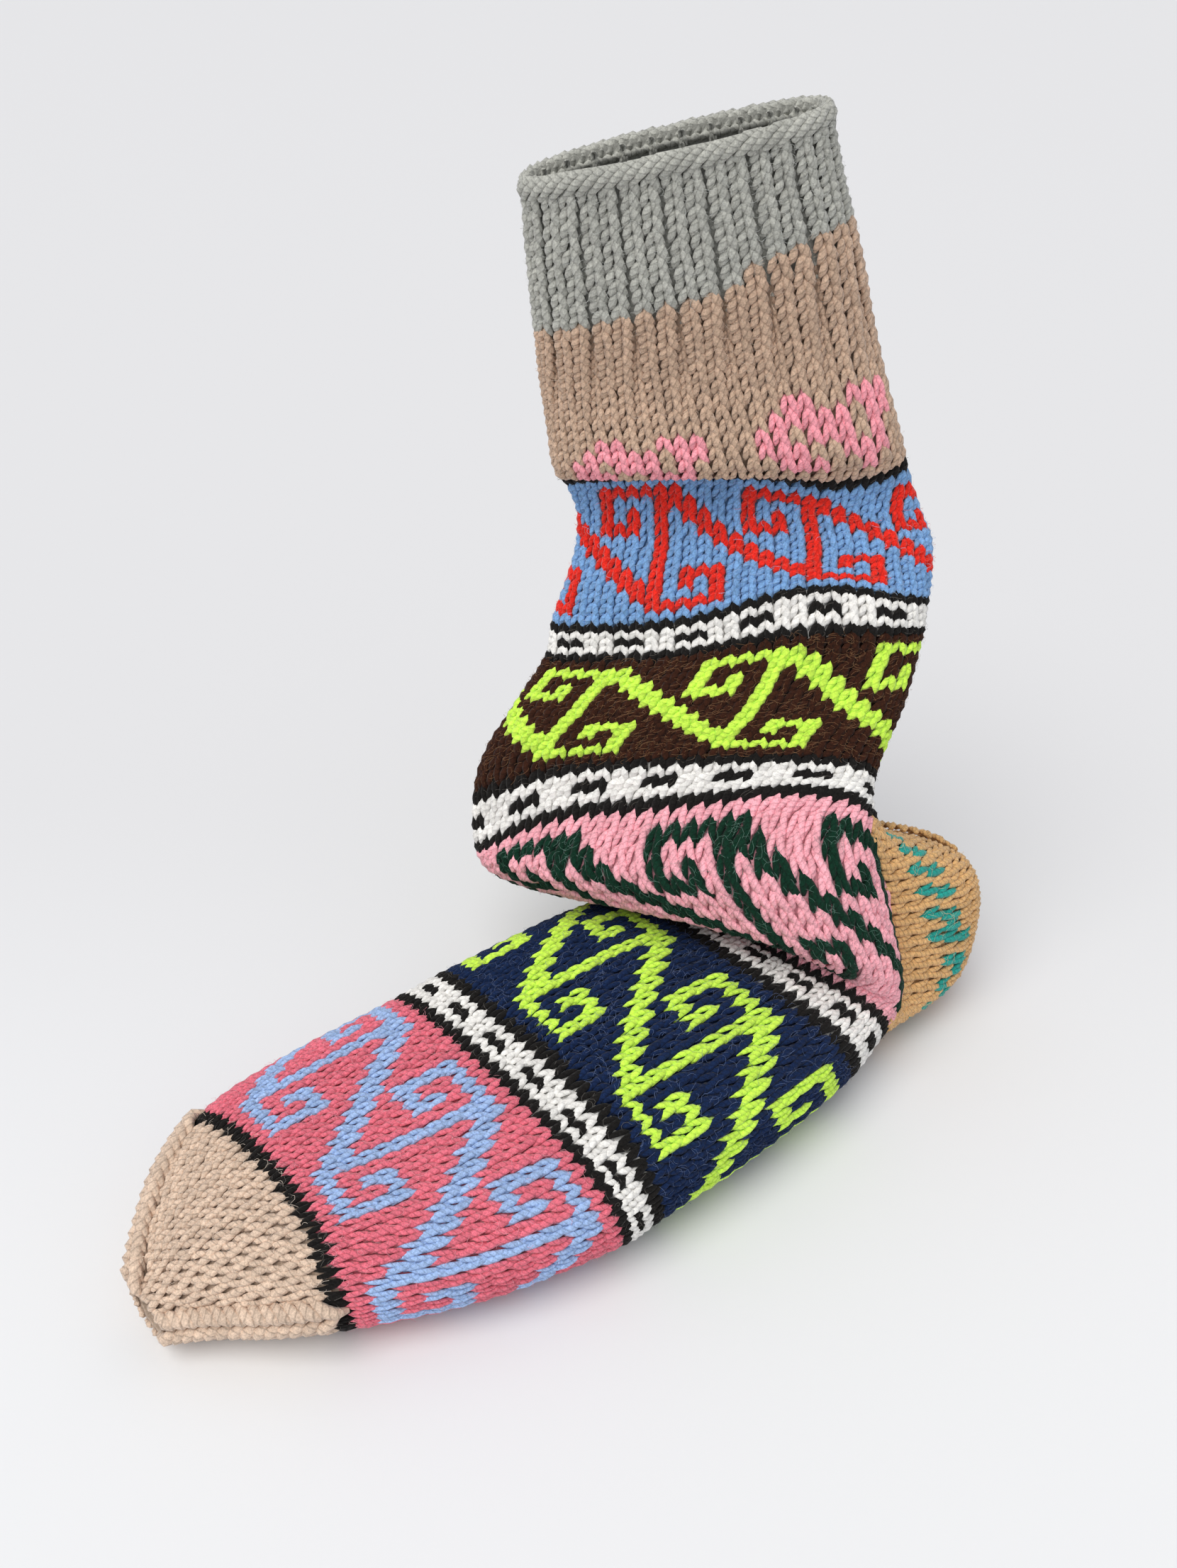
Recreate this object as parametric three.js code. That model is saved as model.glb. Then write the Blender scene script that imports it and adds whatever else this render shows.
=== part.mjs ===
// A hand-knitted, patterned wool sock that stands on its sole with a slouched leg.
// Millimetres, +Z up, toe towards -Y. The wall is one knitted tube from the cuff's rim down the
// leg, round the heel and along the foot to the toe. Knit rows are counted from the rim.
import * as THREE from 'three';
import { mergeVertices } from 'three/addons/utils/BufferGeometryUtils.js';

// driving sizes
const wall = 2.4;             // thickness of the knitted cloth
const seamGap = 0.45;         // gap between neighbouring pieces
const slowestPitch = 0.6;     // mm a row, where the cloth turns back on itself
const sideSeam = 0.2;         // degrees left free on each side of a side seam
const sideThinning = 0.5;     // how much thinner the cloth is where it folds sharply at the side
const sideFold = { row: 70, angle: 180, rows: 8, degrees: 14 };
const squareness = 2.5;       // section shape: 2 is an ellipse, more is boxier
const ribCount = 16;          // knit two, purl one ribs round the cuff
const ribProfile = [-1.5, 0.5, 0.5];   // purl valley, then two knit columns
const ribFadeRow = 14;        // below this row the ribs run out
const ribEndRow = 25;
const centreShift = [40, 107.7, 0];         // brings the box's middle to the origin

// knit rows at which each piece's rings of points lie, closer together at the creases
const cuffRows = [0, 3.5, 7, 11, 15, 19, 22.5, 25.5, 28];
const legRows = [28, 29.5, 31, 33, 35, 37.5, 40, 42.5, 45, 47.5, 50, 52.5, 55, 57.5, 60, 62, 64];
const instepRows = [64, 65.2, 66.4, 67.6, 68.8, 70, 71.2, 72.4, 73.6, 74.8, 76, 77];
const heelRows = [64, 64.8, 65.6, 66.6, 67.8, 69, 70.4, 71.6, 72.8, 74, 75.2, 76.2, 77];
const footRows = [77, 77.7, 78.6, 80, 82, 85, 88.5, 92, 96, 100, 104, 107.5, 110.5, 113];
const toeRows = [113, 115, 117, 119, 121, 122.6, 124, 125.2, 126];
const lastRow = 126;
const roundPoints = 48;       // points round the leg, foot and toe

// Sections of the leg: centre, turn of the section about Z (yaw), how far its right end is
// raised (slope), how far its front is raised (lift), half width, depth to front and to back.
const legColumns = ['row', 'x', 'y', 'z', 'yaw', 'slope', 'lift', 'half', 'front', 'back'];
const legTable = [
  [0, -75, -54, 240, 48, 13, -8, 36, 11, 13],
  [5, -75, -51, 225, 48, 15, -6, 38, 12, 14],
  [11, -74.5, -47, 208, 48, 16, -4, 40.5, 13, 14],
  [19, -75, -41, 187, 48, 12, 1, 43, 14, 15],
  [25, -71.5, -36, 166, 48, 6, 10, 45.5, 15.5, 14],
  [28, -72, -31, 155.5, 48, 5, 20, 46, 13, 13.5],
  [31, -71, -28, 147, 47, 5, 20, 47, 14, 15],
  [35, -67, -29, 138, 47, 6, 15, 49, 16, 16],
  [41, -63, -36, 122, 46, 8, 14, 52, 15, 16],
  [46, -60, -40, 113, 46, 8.5, 15, 52.5, 15, 16],
  [52, -58, -49, 99, 45, 8, 26, 55, 16, 16],
  [59, -57, -60, 78, 44, 12, 53, 58, 17, 16],
];

// Sections round the ankle, by the place of their left end, right end, front and back.
const ankleColumns = ['row', 'left', 'right', 'front', 'back'];
const ankleTable = [
  [64, [-94, -104, 51], [-11, -26, 79], [-48, -75, 78], [-53, -46, 56]],
  [67, [-93, -99, 39], [-6, -23, 62], [-34, -82, 69], [-48, -30, 57]],
  [70, [-88, -88, 30], [-2, -19, 42], [-23, -73, 58], [-38, 2, 48]],
  [72, [-84, -78, 26], [1, -17, 28], [-19, -67, 52], [-35, 11, 32]],
  [74, [-78, -62, 22], [4, -18, 19], [-22, -60, 48], [-33, 8, 9]],
];

// Sections of the foot: here lift turns the section until its front faces up.
const footTable = [
  [77, -32, -42, 20, 21, 0, 66, 43.5, 21, 22.5],
  [82, -29, -58, 20, 13, 0, 70, 46.5, 23, 22],
  [88, -25, -86, 20, 5, 0, 73, 48, 26, 21.5],
  [95, -22, -123, 19, 5, 0, 76, 48.5, 25, 20.5],
  [100, -21, -138, 18, 9, 0, 80, 48.5, 24, 19.5],
  [107, -22, -170, 17, 11, 0, 84, 45.5, 21, 18],
  [113, -24, -195, 16, 12, 0, 88, 39, 18, 17],
  [118, -25, -213, 14, 12, 0, 90, 29, 15, 14.5],
  [122, -27, -226, 11, 12, 0, 90, 18, 12, 11],
  [126, -28, -236, 9, 12, 0, 90, 7, 7, 6],
];

// Soft folds and dents: row and angle of the middle, spread in rows and degrees, depth in mm.
const foldColumns = ['row', 'angle', 'rows', 'degrees', 'depth'];
const foldTable = [
  [44, 125, 4, 28, -3.5],
  [41, 50, 3.5, 26, 3.0],
  [50, 60, 4, 30, -2.0],
  [56, 150, 4, 25, 2.5],
  [30, 250, 3, 40, -4.0],
  [45, 290, 4, 35, -3.0],
  [38, 235, 3.5, 30, 2.5],
  [54, 245, 4, 35, -2.5],
  [85, 60, 4, 25, -1.5],
  [104, 95, 6, 30, -1.5],
];

const radians = THREE.MathUtils.degToRad;

function named(columns, table) {
  return table.map((row) => Object.fromEntries(columns.map((name, i) => [name, row[i]])));
}

// The four key points of a tube section: left and right end, middle of the front and of the back.
function tubeSection(s) {
  const yaw = radians(s.yaw);
  const slope = radians(s.slope);
  const lift = radians(s.lift);
  const across = new THREE.Vector3(
    Math.cos(yaw) * Math.cos(slope), Math.sin(yaw) * Math.cos(slope), Math.sin(slope));
  const backward = new THREE.Vector3(-Math.sin(yaw), Math.cos(yaw), 0);
  const upward = across.clone().cross(backward);
  const facing = backward.multiplyScalar(-Math.cos(lift)).addScaledVector(upward, Math.sin(lift));
  const centre = new THREE.Vector3(s.x, s.y, s.z);
  return {
    row: s.row,
    points: [
      centre.clone().addScaledVector(across, -s.half),
      centre.clone().addScaledVector(across, s.half),
      centre.clone().addScaledVector(facing, s.front),
      centre.clone().addScaledVector(facing, -s.back),
    ],
  };
}

function ankleSection(s) {
  return {
    row: s.row,
    points: [s.left, s.right, s.front, s.back].map((p) => new THREE.Vector3(...p)),
  };
}

const sections = [
  ...named(legColumns, legTable).map(tubeSection),
  ...named(ankleColumns, ankleTable).map(ankleSection),
  ...named(legColumns, footTable).map(tubeSection),
];
const folds = named(foldColumns, foldTable);

// A smooth curve through the sections gives the key points at any row.
function slopeAt(index, which) {
  const before = sections[Math.max(index - 1, 0)];
  const after = sections[Math.min(index + 1, sections.length - 1)];
  return after.points[which].clone().sub(before.points[which]).divideScalar(after.row - before.row);
}

function keyPoints(row) {
  let index = 0;
  while (index < sections.length - 2 && row >= sections[index + 1].row) index += 1;
  const from = sections[index];
  const to = sections[index + 1];
  const span = to.row - from.row;
  const t = (row - from.row) / span;
  const h00 = 2 * t ** 3 - 3 * t ** 2 + 1;
  const h10 = t ** 3 - 2 * t ** 2 + t;
  const h01 = 3 * t ** 2 - 2 * t ** 3;
  const h11 = t ** 3 - t ** 2;
  return from.points.map((point, which) => point.clone().multiplyScalar(h00)
    .addScaledVector(slopeAt(index, which), h10 * span)
    .addScaledVector(to.points[which], h01)
    .addScaledVector(slopeAt(index + 1, which), h11 * span));
}

function foldDepth(row, angle) {
  let depth = 0;
  for (const fold of folds) {
    const turn = ((angle - fold.angle + 540) % 360) - 180;
    const rows = (row - fold.row) / fold.rows;
    depth += fold.depth * Math.exp(-rows * rows - (turn / fold.degrees) ** 2);
  }
  return depth;
}

const power = (value) => Math.sign(value) * Math.abs(value) ** (2 / squareness);

// A point of the outer surface. The angle runs from the right end (0) over the front (90) to
// the left end (180) and round the back.
function surfacePoint(row, angle) {
  const [left, right, front, back] = keyPoints(row);
  const middle = left.clone().add(right).divideScalar(2);
  const side = right.clone().sub(middle);
  const sine = Math.sin(radians(angle));
  const depth = (sine >= 0 ? front : back).clone().sub(middle);
  const bulge = foldDepth(row, angle);
  return middle
    .addScaledVector(side, power(Math.cos(radians(angle))) * (1 + bulge / side.length()))
    .addScaledVector(depth, Math.abs(power(sine)) * (1 + bulge / depth.length()));
}

function outward(row, angle) {
  const along = surfacePoint(Math.min(row + 1, lastRow), angle)
    .sub(surfacePoint(Math.max(row - 1, 0), angle));
  const round = surfacePoint(row, angle + 5).sub(surfacePoint(row, angle - 5));
  return round.cross(along).normalize();
}

// A point of the wall: inset moves it inwards, a negative inset raises it as a rib. Where the
// sock stands on its sole the cloth lies flat.
function wallPoint(row, angle, inset) {
  const turn = (angle - sideFold.angle) / sideFold.degrees;
  const rows = (row - sideFold.row) / sideFold.rows;
  const thinning = inset > 0 ? sideThinning * Math.exp(-turn * turn - rows * rows) : 0;
  const point = surfacePoint(row, angle)
    .addScaledVector(outward(row, angle), -inset * (1 - thinning));
  point.z = Math.max(point.z, inset, 0);
  return point;
}

function ribRelief(row, step) {
  const fade = 1 - THREE.MathUtils.smoothstep(row, ribFadeRow, ribEndRow);
  return ribProfile[step % ribProfile.length] * fade;
}

// Joins an outer and an inner grid of points into one closed wall. A ring wall closes round
// the tube, a panel is closed along all four edges.
function closedWall(outer, inner, isRing) {
  const rows = outer.length;
  const columns = outer[0].length;
  const points = [...outer.flat(), ...inner.flat()];
  const faces = [];
  const at = (layer, i, j) => layer * rows * columns + i * columns + (j % columns);
  const quad = (a, b, c, d) => faces.push(a, c, b, a, d, c);
  const spans = isRing ? columns : columns - 1;
  for (let i = 0; i < rows - 1; i += 1) {
    for (let j = 0; j < spans; j += 1) {
      quad(at(0, i, j), at(0, i + 1, j), at(0, i + 1, j + 1), at(0, i, j + 1));
      quad(at(1, i, j), at(1, i, j + 1), at(1, i + 1, j + 1), at(1, i + 1, j));
    }
  }
  for (let j = 0; j < spans; j += 1) {
    quad(at(0, 0, j), at(0, 0, j + 1), at(1, 0, j + 1), at(1, 0, j));
    quad(at(0, rows - 1, j), at(1, rows - 1, j), at(1, rows - 1, j + 1), at(0, rows - 1, j + 1));
  }
  if (!isRing) {
    for (let i = 0; i < rows - 1; i += 1) {
      const last = columns - 1;
      quad(at(0, i, 0), at(1, i, 0), at(1, i + 1, 0), at(0, i + 1, 0));
      quad(at(0, i, last), at(0, i + 1, last), at(1, i + 1, last), at(1, i, last));
    }
  }
  return { points, faces };
}

function meshOf(name, shape, colour) {
  const geometry = new THREE.BufferGeometry().setFromPoints(shape.points);
  geometry.setIndex(shape.faces);
  const merged = mergeVertices(geometry, 1e-4);
  merged.computeVertexNormals();
  const material = new THREE.MeshStandardMaterial({ color: colour, roughness: 0.95, metalness: 0 });
  const mesh = new THREE.Mesh(merged, material);
  mesh.name = name;
  return mesh;
}

// Knit rows a piece is cut back at an end that meets another piece, so that the seam gap is
// even all round. The nearer of the outer and inner surfaces sets it.
function cutBack(row, angle, away) {
  const step = 0.2 * away;
  const pitch = Math.min(...[0, wall].map((inset) => wallPoint(row, angle, inset)
    .distanceTo(wallPoint(row + step, angle, inset)) / 0.2));
  return away * seamGap / 2 / Math.max(pitch, slowestPitch);
}

function freeRow(rows, index, angle, gaps) {
  if (index === 0 && gaps.start) return rows[0] + cutBack(rows[0], angle, 1);
  const last = rows.length - 1;
  if (index === last && gaps.end) return rows[last] + cutBack(rows[last], angle, -1);
  return rows[index];
}

function tubeGrid(rows, count, gaps, inset, relief) {
  return rows.map((row, i) => Array.from({ length: count }, (_, j) => {
    const angle = 360 * j / count;
    const lift = relief ? relief(row, j) : 0;
    return wallPoint(freeRow(rows, i, angle, gaps), angle, inset - lift);
  }));
}

function panelGrid(rows, from, to, count, gaps, inset) {
  return rows.map((row, i) => Array.from({ length: count + 1 }, (_, j) => {
    const angle = from + (to - from) * j / count;
    return wallPoint(freeRow(rows, i, angle, gaps), angle, inset);
  }));
}

function tube(name, rows, count, colour, gaps, relief) {
  const outer = tubeGrid(rows, count, gaps, 0, relief);
  const inner = tubeGrid(rows, count, gaps, wall);
  return meshOf(name, closedWall(outer, inner, true), colour);
}

function panel(name, rows, from, to, count, colour) {
  const gaps = { start: true, end: true };
  const grid = (inset) => panelGrid(rows, from + sideSeam, to - sideSeam, count, gaps, inset);
  return meshOf(name, closedWall(grid(0), grid(wall), false), colour);
}

// The wedge toe: a cup, closed at its tip outside and inside.
function toeCup(name, rows, count, colour) {
  const outer = tubeGrid(rows, count, { start: true }, 0);
  const inner = tubeGrid(rows.slice(0, -1), count, { start: true }, wall);
  const points = [...outer.flat(), ...inner.flat()];
  const innerStart = outer.length * count;
  const faces = [];
  const next = (j) => (j + 1) % count;
  const join = (start, rowCount, inward) => {
    for (let i = 0; i < rowCount - 1; i += 1) {
      for (let j = 0; j < count; j += 1) {
        const a = start + i * count + j;
        const b = start + i * count + next(j);
        if (inward) faces.push(a, b + count, b, a, a + count, b + count);
        else faces.push(a, b, b + count, a, b + count, a + count);
      }
    }
  };
  const closeTip = (ring, inward) => {
    const middle = new THREE.Vector3();
    for (let j = 0; j < count; j += 1) middle.addScaledVector(points[ring + j], 1 / count);
    points.push(middle);
    const tip = points.length - 1;
    for (let j = 0; j < count; j += 1) {
      const a = ring + j;
      const b = ring + next(j);
      if (inward) faces.push(a, tip, b);
      else faces.push(a, b, tip);
    }
  };
  join(0, outer.length, false);
  join(innerStart, inner.length, true);
  closeTip((outer.length - 1) * count, false);
  closeTip(innerStart + (inner.length - 1) * count, true);
  for (let j = 0; j < count; j += 1) {
    const k = next(j);
    faces.push(j, innerStart + k, k, j, innerStart + j, innerStart + k);
  }
  return meshOf(name, { points, faces }, colour);
}

const group = new THREE.Group();
group.add(
  // the ribbed cuff with the tan band below it
  tube('cuff', cuffRows, ribCount * ribProfile.length, 0x9a958c, { end: true }, ribRelief),
  // the patterned leg
  tube('leg', legRows, roundPoints, 0x4a3020, { start: true, end: true }),
  // the front half over the instep, which bulges and folds back under itself
  panel('instep', instepRows, 0, 180, roundPoints / 2, 0xef8c9c),
  // the heel cup, the back half of the same rows
  panel('heel', heelRows, 180, 360, roundPoints / 2, 0xbf9560),
  // the patterned foot
  tube('foot', footRows, roundPoints, 0xa64a62, { start: true, end: true }),
  // the wedge toe
  toeCup('toe', toeRows, roundPoints, 0xb39c88),
);
group.position.set(...centreShift);

export default group;
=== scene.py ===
import math

import bpy
import numpy as np
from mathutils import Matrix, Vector


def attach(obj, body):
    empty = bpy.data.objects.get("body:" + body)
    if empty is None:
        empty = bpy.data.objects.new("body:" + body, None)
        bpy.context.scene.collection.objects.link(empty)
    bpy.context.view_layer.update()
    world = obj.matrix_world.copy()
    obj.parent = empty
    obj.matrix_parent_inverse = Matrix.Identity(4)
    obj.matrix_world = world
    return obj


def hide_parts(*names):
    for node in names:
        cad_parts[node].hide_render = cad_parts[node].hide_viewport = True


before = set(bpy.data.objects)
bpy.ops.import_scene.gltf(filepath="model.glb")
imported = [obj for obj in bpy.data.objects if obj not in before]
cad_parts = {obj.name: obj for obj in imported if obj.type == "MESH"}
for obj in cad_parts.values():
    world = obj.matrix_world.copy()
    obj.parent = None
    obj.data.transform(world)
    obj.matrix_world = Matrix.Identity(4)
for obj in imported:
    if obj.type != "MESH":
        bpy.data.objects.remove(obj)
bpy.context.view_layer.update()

# The tube of cloth
# The real sock is one tube of knitted wool, worked round and round from the cuff's rim to the
# toe. Its rounds are counted from the rim as rows, and its shape is given by flattened sections
# at certain rows. Sizes are in millimetres and are turned into metres when a mesh is made.
MM = 0.001
SHIFT = (40.0, 107.7, 0.0)     # the box's middle to the origin
LAST_ROW = 126
ANKLE_ROWS = (64, 77)
SQUARENESS = 2.5
YARN_INSET = 0.9               # middle of the yarn under the cloth's outer face
WALL = 2.4                     # thickness of the cloth
STITCHES = 60                  # stitches in a round
CELL = 0.25                    # spacing of the worked-out surface, in rows and in stitches

LEG_COLUMNS = ("row", "x", "y", "z", "yaw", "slope", "lift", "half", "front", "back")
LEG_TABLE = [
    (0, -75, -54, 240, 48, 13, -8, 36, 11, 13),
    (5, -75, -51, 225, 48, 15, -6, 38, 12, 14),
    (11, -74.5, -47, 208, 48, 16, -4, 40.5, 13, 14),
    (19, -75, -41, 187, 48, 12, 1, 43, 14, 15),
    (25, -71.5, -36, 166, 48, 6, 10, 45.5, 15.5, 14),
    (28, -72, -31, 155.5, 48, 5, 20, 46, 13, 13.5),
    (31, -71, -28, 147, 47, 5, 20, 47, 14, 15),
    (35, -67, -29, 138, 47, 6, 15, 49, 16, 16),
    (41, -63, -36, 122, 46, 8, 14, 52, 15, 16),
    (46, -60, -40, 113, 46, 8.5, 15, 52.5, 15, 16),
    (52, -58, -49, 99, 45, 8, 26, 55, 16, 16),
    (59, -57, -60, 78, 44, 12, 53, 58, 17, 16),
]
ANKLE_COLUMNS = ("row", "left", "right", "front", "back")
ANKLE_TABLE = [
    (64, (-94, -104, 51), (-11, -26, 79), (-48, -75, 78), (-53, -46, 56)),
    (67, (-93, -99, 39), (-6, -23, 62), (-34, -82, 69), (-48, -30, 57)),
    (70, (-88, -88, 30), (-2, -19, 42), (-23, -73, 58), (-38, 2, 48)),
    (72, (-84, -78, 26), (1, -17, 28), (-19, -67, 52), (-35, 11, 32)),
    (74, (-78, -62, 22), (4, -18, 19), (-22, -60, 48), (-33, 8, 9)),
]
FOOT_TABLE = [
    (77, -32, -42, 20, 21, 0, 66, 43.5, 21, 22.5),
    (82, -29, -58, 20, 13, 0, 70, 46.5, 23, 22),
    (88, -25, -86, 20, 5, 0, 73, 48, 26, 21.5),
    (95, -22, -123, 19, 5, 0, 76, 48.5, 25, 20.5),
    (100, -21, -138, 18, 9, 0, 80, 48.5, 24, 19.5),
    (107, -22, -170, 17, 11, 0, 84, 45.5, 21, 18),
    (113, -24, -195, 16, 12, 0, 88, 39, 18, 17),
    (118, -23.5, -213, 14, 12, 0, 90, 28, 15, 14.5),
    (122, -22.5, -225, 11, 12, 0, 90, 16, 12, 11),
    (126, -20, -234, 9, 12, 0, 90, 7, 7, 6),
]
# Soft troughs and ridges: row and angle of the middle, spread in rows and degrees, depth.
FOLD_COLUMNS = ("row", "angle", "rows", "degrees", "depth")
FOLD_TABLE = [
    (44, 125, 4, 28, -3.5),
    (41, 50, 3.5, 26, 3.0),
    (50, 60, 4, 30, -2.0),
    (56, 150, 4, 25, 2.5),
    (30, 250, 3, 40, -4.0),
    (45, 290, 4, 35, -3.0),
    (38, 235, 3.5, 30, 2.5),
    (54, 245, 4, 35, -2.5),
    (85, 60, 4, 25, -1.5),
    (104, 95, 6, 30, -1.5),
]
# How many of the round's stitches lie on the front half, by row.
FRONT_COLUMNS = ("row", "stitches")
FRONT_TABLE = [(0, 25), (26, 25), (31, 27), (36, 27), (46, 25.4), (61, 25.4), (66, 30),
               (70, 31), (74, 31), (80, 30), (126, 30)]
# Where the rounds stray from the level of the sections, as they do in a slouched sock: row and
# stitch of the middle, spread in rows and in stitches, and how many rows lower they lie there.
DRIFT_COLUMNS = ("row", "column", "rows", "columns", "lower")
DRIFT_TABLE = [
    (10, 23, 6, 6, -1.3),
    (26.5, 9, 2, 8, -0.3),
    (29.2, 9, 2.4, 8, -0.9),
    (28, 20, 3, 3.5, 1.0),
    (27, 25.5, 3, 2.5, -1.2),
    (43.5, 19, 6.5, 7, -4.0),
    (62, 3, 4, 4, 1.9),
    (64, 23, 3, 5, -0.9),
    (77, 19, 2.4, 8, 1.6),
    (87, 20, 6, 12, 0.8),
    (95, 21, 2.6, 9, -1.1),
    (114, 29, 5, 7, 1.9),
    (114, 3, 4, 4, 0.6),
]
# How far the stitches of a row stand to the right of the section's even spacing.
SKEW_COLUMNS = ("row", "stitches")
SKEW_TABLE = [(26, 0), (30, -0.5), (38, -0.5), (46, -0.35), (61, -0.35), (68, 0), (84, -0.3),
              (94, -0.3), (100, 0)]
# Two folds whose lips stand out over the cloth below: last row, spread in rows, middle stitch,
# spread in stitches, height.
LIP_COLUMNS = ("row", "rows", "column", "columns", "height")
LIP_TABLE = [(26.8, 3.0, 10, 10, 2.6), (76.6, 2.6, 17, 10, 2.6)]


def named(columns, table):
    return [dict(zip(columns, values)) for values in table]


def tube_section(s):
    """Left end, right end, front and back of a flattened section of the tube."""
    yaw, slope, lift = (math.radians(s[k]) for k in ("yaw", "slope", "lift"))
    across = Vector((math.cos(yaw) * math.cos(slope), math.sin(yaw) * math.cos(slope),
                     math.sin(slope)))
    backward = Vector((-math.sin(yaw), math.cos(yaw), 0))
    facing = -math.cos(lift) * backward + math.sin(lift) * across.cross(backward)
    centre = Vector((s["x"], s["y"], s["z"]))
    points = (centre - across * s["half"], centre + across * s["half"],
              centre + facing * s["front"], centre - facing * s["back"])
    return s["row"], [tuple(p) for p in points]


def ankle_section(s):
    return s["row"], [s["left"], s["right"], s["front"], s["back"]]


sections = [tube_section(s) for s in named(LEG_COLUMNS, LEG_TABLE)]
sections += [ankle_section(s) for s in named(ANKLE_COLUMNS, ANKLE_TABLE)]
sections += [tube_section(s) for s in named(LEG_COLUMNS, FOOT_TABLE)]
section_rows = np.array([row for row, points in sections], float)
section_points = np.array([points for row, points in sections], float)
last = len(sections) - 1
after = np.minimum(np.arange(last + 1) + 1, last)
before = np.maximum(np.arange(last + 1) - 1, 0)
section_slopes = ((section_points[after] - section_points[before])
                  / (section_rows[after] - section_rows[before])[:, None, None])


def key_points(rows):
    """The four key points at each row, on a smooth curve through the sections."""
    rows = np.asarray(rows, float)
    i = np.clip(np.searchsorted(section_rows, rows, side="right") - 1, 0, last - 1)
    span = (section_rows[i + 1] - section_rows[i])[:, None, None]
    t = (rows - section_rows[i])[:, None, None] / span
    return ((2 * t**3 - 3 * t**2 + 1) * section_points[i]
            + (t**3 - 2 * t**2 + t) * span * section_slopes[i]
            + (3 * t**2 - 2 * t**3) * section_points[i + 1]
            + (t**3 - t**2) * span * section_slopes[i + 1])


def fold_depth(rows, angles):
    """How far the troughs and ridges push the cloth in or out."""
    depth = np.zeros(np.broadcast(rows, angles).shape)
    for f in named(FOLD_COLUMNS, FOLD_TABLE):
        turn = (angles - f["angle"] + 540) % 360 - 180
        depth += f["depth"] * np.exp(-((rows - f["row"]) / f["rows"]) ** 2
                                     - (turn / f["degrees"]) ** 2)
    return depth


def surface(rows, angles):
    """Points of the outer face, one line of angles for each row. The angle runs from the right
    end (0) over the front (90) to the left end (180) and round the back."""
    left, right, front, back = np.moveaxis(key_points(rows), 1, 0)[:, :, None, :]
    middle = (left + right) / 2
    side = right - middle
    cosine, sine = np.cos(np.radians(angles)), np.sin(np.radians(angles))
    depth = np.where(sine[..., None] >= 0, front - middle, back - middle)
    bulge = fold_depth(np.asarray(rows)[:, None], angles)[..., None]
    power = 2 / SQUARENESS
    across = (np.sign(cosine) * np.abs(cosine) ** power)[..., None]
    out = (np.abs(sine) ** power)[..., None]
    return (middle + side * across * (1 + bulge / np.linalg.norm(side, axis=-1, keepdims=True))
            + depth * out * (1 + bulge / np.linalg.norm(depth, axis=-1, keepdims=True)))


# The cloth's face worked out on an even net of rows and stitches: stitch 0 is at the left end,
# the front comes first, then the back.
net_rows = np.arange(0, LAST_ROW + CELL / 2, CELL)
net_columns = np.arange(0, STITCHES + CELL / 2, CELL)
front_stitches = np.interp(net_rows, [r for r, n in FRONT_TABLE], [n for r, n in FRONT_TABLE])
half_angles = np.linspace(180, 0, 361)


def evenly_spaced(points, shares):
    """Points at the given shares of the length of each row's line of points."""
    steps = np.linalg.norm(np.diff(points, axis=1), axis=2)
    lengths = np.concatenate([np.zeros((len(points), 1)), np.cumsum(steps, axis=1)], axis=1)
    made = np.empty((len(points), shares.shape[1], 3))
    for i, line in enumerate(points):
        wanted = shares[i] * lengths[i, -1]
        for k in range(3):
            made[i, :, k] = np.interp(wanted, lengths[i], line[:, k])
    return made


front_half = surface(net_rows, np.broadcast_to(half_angles, (len(net_rows), 361)))
back_half = surface(net_rows, np.broadcast_to(np.linspace(360, 180, 361),
                                              (len(net_rows), 361)))
on_front = net_columns[None, :] <= front_stitches[:, None]
front_share = np.clip(net_columns[None, :] / front_stitches[:, None], 0, 1)
back_share = np.clip((net_columns[None, :] - front_stitches[:, None])
                     / (STITCHES - front_stitches[:, None]), 0, 1)
net = np.where(on_front[..., None], evenly_spaced(front_half, front_share),
               evenly_spaced(back_half, back_share))
net[..., 2] = np.maximum(net[..., 2], 0)
net[:, -1] = net[:, 0]

# In the sagging ankle the rows are spaced evenly along each column of stitches.
first, end = (int(row / CELL) for row in ANKLE_ROWS)
ankle = np.moveaxis(net[first:end + 1], 0, 1)
even = np.broadcast_to(np.linspace(0, 1, ankle.shape[1]), ankle.shape[:2])
net[first:end + 1] = np.moveaxis(evenly_spaced(ankle, even), 1, 0)

around = np.roll(net[:, :-1], -2, axis=1) - np.roll(net[:, :-1], 2, axis=1)
around = np.concatenate([around, around[:, :1]], axis=1)
below = net[np.minimum(np.arange(len(net)) + 2, len(net) - 1)]
above = net[np.maximum(np.arange(len(net)) - 2, 0)]
net_normals = np.cross(below - above, around)
net_normals /= np.maximum(np.linalg.norm(net_normals, axis=-1, keepdims=True), 1e-9)


def read_net(values, rows, columns):
    """The net's values at any rows and stitches, read between its points."""
    r = np.clip(np.asarray(rows, float), 0, LAST_ROW) / CELL
    c = np.mod(np.asarray(columns, float), STITCHES) / CELL
    i = np.minimum(r.astype(int), len(net_rows) - 2)
    j = np.minimum(c.astype(int), len(net_columns) - 2)
    a, b = (r - i)[..., None], (c - j)[..., None]
    return ((values[i, j] * (1 - b) + values[i, j + 1] * b) * (1 - a)
            + (values[i + 1, j] * (1 - b) + values[i + 1, j + 1] * b) * a)


def bump_at(rows, columns, row, column, row_spread, column_spread):
    """A soft bump over rows and stitches that is 1 in its middle."""
    away = (columns - column + STITCHES / 2) % STITCHES - STITCHES / 2
    return np.exp(-((rows - row) / row_spread) ** 2 - (away / column_spread) ** 2)


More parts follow.
